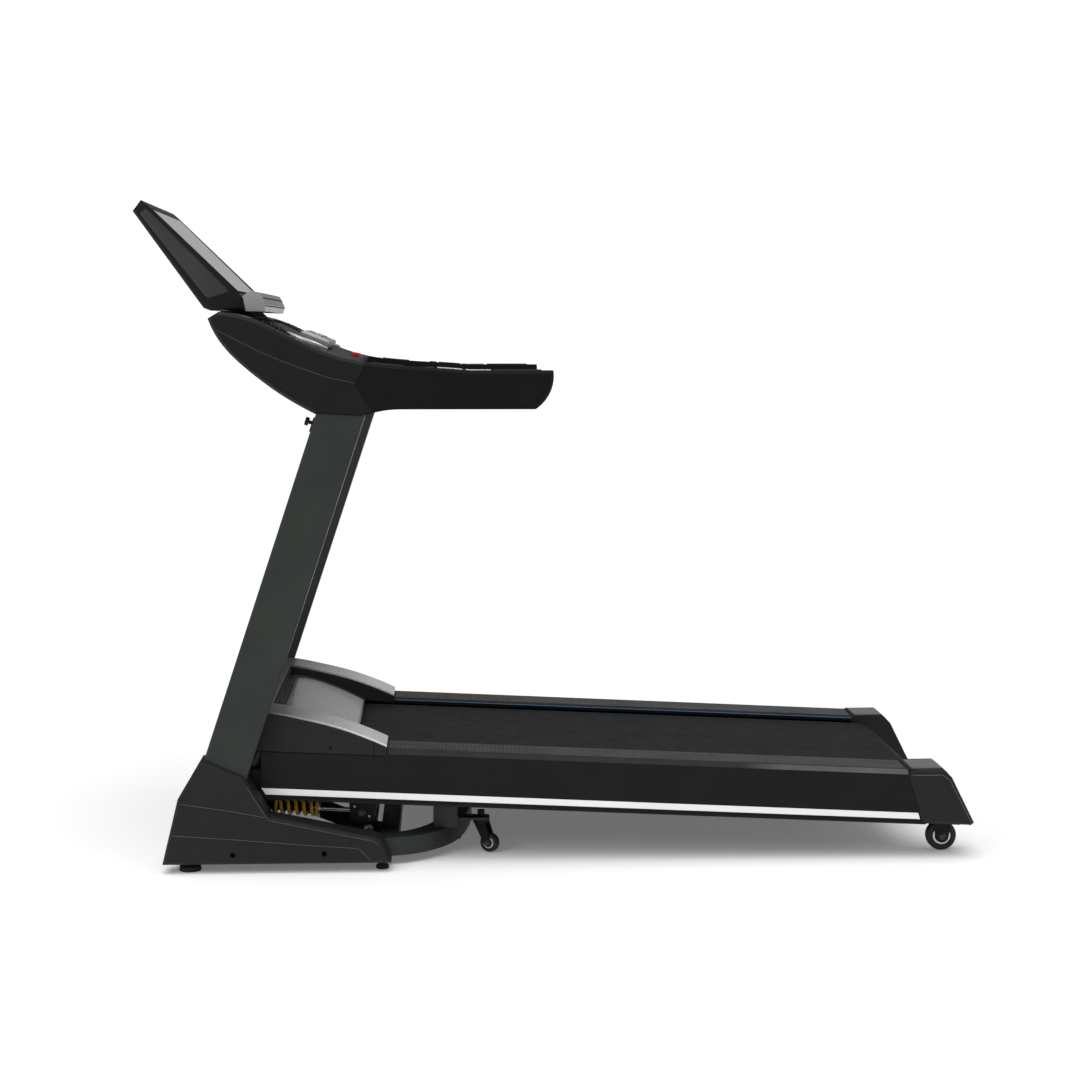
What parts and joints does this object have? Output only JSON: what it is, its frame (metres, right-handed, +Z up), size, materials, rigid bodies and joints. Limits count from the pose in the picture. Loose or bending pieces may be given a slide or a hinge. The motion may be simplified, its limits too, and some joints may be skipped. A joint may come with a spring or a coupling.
{
  "type": "treadmill",
  "caption": "Folding motorised treadmill with a raked console mast, level handles, a powered incline, a sprung strut and rear wheels.",
  "frame": {"origin": "on the floor, at the middle of the object's box", "axes": "+X along the deck towards the belt's rear end, +Y to the side, +Z up"},
  "size_m": [1.8437, 0.93, 1.447],
  "materials": {
    "frame_paint": "satin",
    "black_paint": "satin",
    "cover_plastic": "fine texture",
    "cowl_plastic": "satin",
    "grip_plastic": "fine texture",
    "silver_trim": "satin",
    "gloss_panel": "polished",
    "display": "polished",
    "belt_rubber": "fine texture",
    "board_wood": "waxed",
    "bright_steel": "ground",
    "soft_rubber": "matte",
    "wheel_tyre": "matte",
    "spring_paint": "satin",
    "red_plastic": "gloss",
    "key_plastic": "satin",
    "sensor_plate": "polished",
    "iron": "as cast",
    "case_aluminium": "satin"
  },
  "bodies": {
    "base": {"base_frame_tubes": "frame_paint", "base_u_tube": "frame_paint", "lift_brackets": "black_paint", "deck_rest_posts": "frame_paint", "rubber_feet": "soft_rubber", "uprights": "frame_paint", "base_covers": "cover_plastic", "upright_knobs": "cowl_plastic", "side_cowls": "cowl_plastic", "handles": "grip_plastic", "pulse_plates": "sensor_plate", "dash_pan": "cowl_plastic", "dash_top": "cowl_plastic", "console_frame": "black_paint", "cup_holders": "silver_trim", "control_pod": "silver_trim", "console_housing": "cowl_plastic", "display_glass": "display", "console_chin": "silver_trim", "console_neck": "cowl_plastic"},
    "deck": {"deck_frame": "black_paint", "running_board": "board_wood", "deck_cushions": "soft_rubber", "running_belt": "belt_rubber", "roller_axles": "bright_steel", "drive_motor": "black_paint", "ribbed_belt": "belt_rubber", "motor_controller": "case_aluminium", "motor_pan": "cover_plastic", "side_rails": "black_paint", "motor_hood": "cover_plastic", "hood_strips": "silver_trim", "hood_panel": "gloss_panel", "rear_caps": "cover_plastic", "wheel_forks": "black_paint", "power_inlet": "cowl_plastic"},
    "lift_frame": {"lift_frame": "black_paint"},
    "fold_shaft": {"fold_shaft": "bright_steel"},
    "strut_cylinder": {"strut_cylinder": "black_paint"},
    "incline_motor": {"incline_motor": "black_paint"},
    "incline_screw": {"incline_screw": "bright_steel"},
    "front_roller": {"front_roller": "bright_steel"},
    "rear_roller": {"rear_roller": "bright_steel"},
    "motor_rotor": {"motor_rotor": "iron"},
    "rear_wheel_left": {"rear_wheel_left": "wheel_tyre"},
    "rear_wheel_right": {"rear_wheel_right": "wheel_tyre"},
    "caster_fork_left": {"caster_fork_left": "black_paint"},
    "caster_fork_right": {"caster_fork_right": "black_paint"},
    "caster_wheel_left": {"caster_wheel_left": "wheel_tyre"},
    "caster_wheel_right": {"caster_wheel_right": "wheel_tyre"},
    "start_key": {"start_key": "key_plastic"},
    "stop_key": {"stop_key": "red_plastic"},
    "speed_rocker": {"speed_rocker": "key_plastic"},
    "incline_rocker": {"incline_rocker": "key_plastic"},
    "speed_handle_rocker": {"speed_handle_rocker": "key_plastic"},
    "incline_handle_rocker": {"incline_handle_rocker": "key_plastic"},
    "safety_key": {"safety_key": "red_plastic"},
    "power_switch": {"power_switch": "red_plastic"},
    "strut_rod": {"strut_rod": "bright_steel", "strut_spring": "spring_paint"}
  },
  "joints": [
    {"name": "incline", "type": "hinge", "parent": "base", "child": "lift_frame", "pos_m": [-0.42, 0, 0.058], "axis": [0, 1, 0], "range_deg": [0, 35]},
    {"name": "deck_level", "type": "hinge", "parent": "lift_frame", "child": "fold_shaft", "pos_m": [-0.683, 0, 0.165], "axis": [0, 1, 0], "range_deg": [-31, 0.5]},
    {"name": "fold", "type": "hinge", "parent": "fold_shaft", "child": "deck", "pos_m": [-0.683, 0, 0.165], "axis": [0, -1, 0], "range_deg": [0, 66]},
    {"name": "strut_swing", "type": "hinge", "parent": "fold_shaft", "child": "strut_cylinder", "pos_m": [-0.676, -0.325, 0.122], "axis": [0, -1, 0], "range_deg": [0, 64]},
    {"name": "strut_extend", "type": "slide", "parent": "strut_cylinder", "child": "strut_rod", "axis": [0.9978, 0, -0.0657], "range_m": [0, 0.047], "deforming": ["strut_spring"]},
    {"name": "incline_motor_swing", "type": "hinge", "parent": "base", "child": "incline_motor", "pos_m": [-0.778, 0, 0.046], "axis": [0, 1, 0], "range_deg": [0, 2.6]},
    {"name": "incline_screw_extend", "type": "slide", "parent": "incline_motor", "child": "incline_screw", "axis": [0.9793, 0, 0.2024], "range_m": [0, 0.0345]},
    {"name": "front_roller_spin", "type": "hinge", "parent": "deck", "child": "front_roller", "pos_m": [-0.46545, 0, 0.21287], "axis": [0, 1, 0], "continuous": true},
    {"name": "rear_roller_spin", "type": "hinge", "parent": "deck", "child": "rear_roller", "pos_m": [0.7901, 0, 0.15256], "axis": [0, 1, 0], "continuous": true},
    {"name": "motor_spin", "type": "hinge", "parent": "deck", "child": "motor_rotor", "pos_m": [-0.60734, -0.2, 0.23946], "axis": [0, 1, 0], "continuous": true},
    {"name": "rear_wheel_left_spin", "type": "hinge", "parent": "deck", "child": "rear_wheel_left", "pos_m": [0.8665, -0.306, 0.0335], "axis": [0, 1, 0], "continuous": true},
    {"name": "rear_wheel_right_spin", "type": "hinge", "parent": "deck", "child": "rear_wheel_right", "pos_m": [0.8665, 0.306, 0.0335], "axis": [0, 1, 0], "continuous": true},
    {"name": "caster_left_swivel", "type": "hinge", "parent": "base", "child": "caster_fork_left", "pos_m": [-0.169, -0.277, 0.077], "axis": [0, 0, 1], "continuous": true},
    {"name": "caster_left_spin", "type": "hinge", "parent": "caster_fork_left", "child": "caster_wheel_left", "pos_m": [-0.14958, -0.28733, 0.022], "axis": [0.4695, 0.8829, 0], "continuous": true},
    {"name": "caster_right_swivel", "type": "hinge", "parent": "base", "child": "caster_fork_right", "pos_m": [-0.169, 0.277, 0.077], "axis": [0, 0, 1], "continuous": true},
    {"name": "caster_right_spin", "type": "hinge", "parent": "caster_fork_right", "child": "caster_wheel_right", "pos_m": [-0.14958, 0.28733, 0.022], "axis": [-0.4695, 0.8829, 0], "continuous": true},
    {"name": "start_key_press", "type": "slide", "parent": "base", "child": "start_key", "axis": [-0.3681, 0, -0.9298], "range_m": [0, 0.0015], "stiffness_N_per_m": 400},
    {"name": "stop_key_press", "type": "slide", "parent": "base", "child": "stop_key", "axis": [-0.3681, 0, -0.9298], "range_m": [0, 0.0015], "stiffness_N_per_m": 400},
    {"name": "speed_rocker_tilt", "type": "hinge", "parent": "base", "child": "speed_rocker", "pos_m": [-0.53805, 0.104, 1.14744], "axis": [0.9298, 0, -0.3681], "range_deg": [-2.5, 2.5], "stiffness_Nm_per_rad": 0.06},
    {"name": "incline_rocker_tilt", "type": "hinge", "parent": "base", "child": "incline_rocker", "pos_m": [-0.53805, -0.104, 1.14744], "axis": [0.9298, 0, -0.3681], "range_deg": [-2.5, 2.5], "stiffness_Nm_per_rad": 0.06},
    {"name": "speed_handle_rocker_tilt", "type": "hinge", "parent": "base", "child": "speed_handle_rocker", "pos_m": [-0.31, 0.429, 1.079], "axis": [0, 1, 0], "range_deg": [-3, 3], "stiffness_Nm_per_rad": 0.06},
    {"name": "incline_handle_rocker_tilt", "type": "hinge", "parent": "base", "child": "incline_handle_rocker", "pos_m": [-0.31, -0.429, 1.079], "axis": [0, 1, 0], "range_deg": [-3, 3], "stiffness_Nm_per_rad": 0.06},
    {"name": "safety_key_pull", "type": "slide", "parent": "base", "child": "safety_key", "axis": [0.2079, 0, 0.9781], "range_m": [0, 0.03]},
    {"name": "power_switch_tilt", "type": "hinge", "parent": "deck", "child": "power_switch", "pos_m": [-0.74101, 0.239, 0.20783], "axis": [0, 1, 0], "range_deg": [-6, 6]}
  ],
  "couplings": [
    {"joint": "deck_level", "follows": "incline", "ratio": -0.8604},
    {"joint": "incline_motor_swing", "follows": "incline", "ratio": 0.068},
    {"joint": "incline_screw_extend", "follows": "incline", "m_per_rad": 0.055},
    {"joint": "strut_swing", "follows": "fold", "ratio": 0.964},
    {"joint": "strut_extend", "follows": "fold", "m_per_rad": 0.04},
    {"joint": "rear_roller_spin", "follows": "front_roller_spin", "ratio": 1},
    {"joint": "motor_spin", "follows": "front_roller_spin", "ratio": 1.9412}
  ]
}
